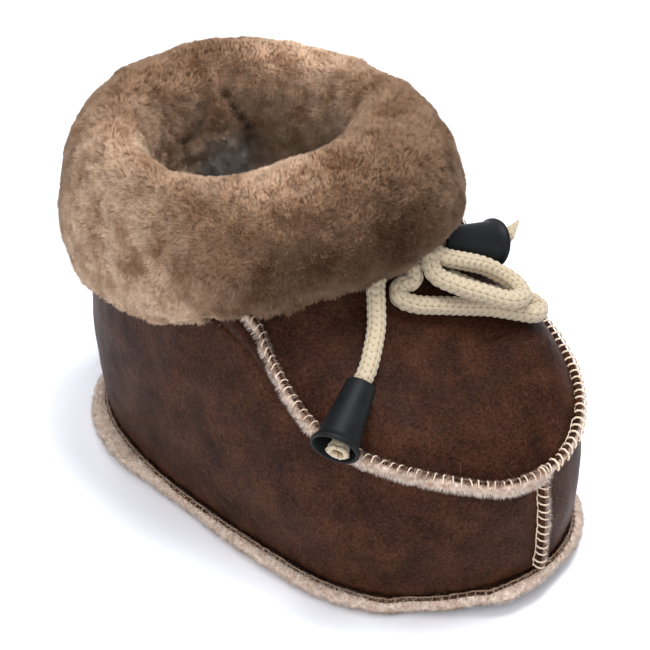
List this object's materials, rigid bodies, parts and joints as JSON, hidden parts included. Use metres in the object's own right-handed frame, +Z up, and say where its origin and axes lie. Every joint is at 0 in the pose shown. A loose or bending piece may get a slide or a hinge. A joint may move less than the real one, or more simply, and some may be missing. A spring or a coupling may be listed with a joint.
{
  "type": "baby slipper",
  "caption": "Soft sheepskin moccasin bootie for a baby, with a turned-down wool cuff and a tied cord with bell-shaped ends, standing empty on its sole",
  "frame": {"origin": "on the floor under the middle of the box of sole, upper, insole and collar", "axes": "the toe points to -Y, the heel to +Y, +X is the shoe's own left side and +Z is up"},
  "size_m": [0.0891, 0.1474, 0.1],
  "materials": {
    "brown_leather": "matt",
    "pale_wool": "wool pile",
    "tan_wool": "wool pile",
    "cream_cord": "knitted",
    "black_plastic": "satin"
  },
  "bodies": {
    "root": {"sole": "pale_wool", "insole": "pale_wool", "upper": "brown_leather", "collar": "tan_wool", "lace_knot": "cream_cord", "lace_loop_a": "cream_cord", "lace_loop_b": "cream_cord", "lace_end_right": "cream_cord", "lace_end_left": "cream_cord", "cord_end_right": "black_plastic", "cord_end_left": "black_plastic"}
  },
  "joints": []
}
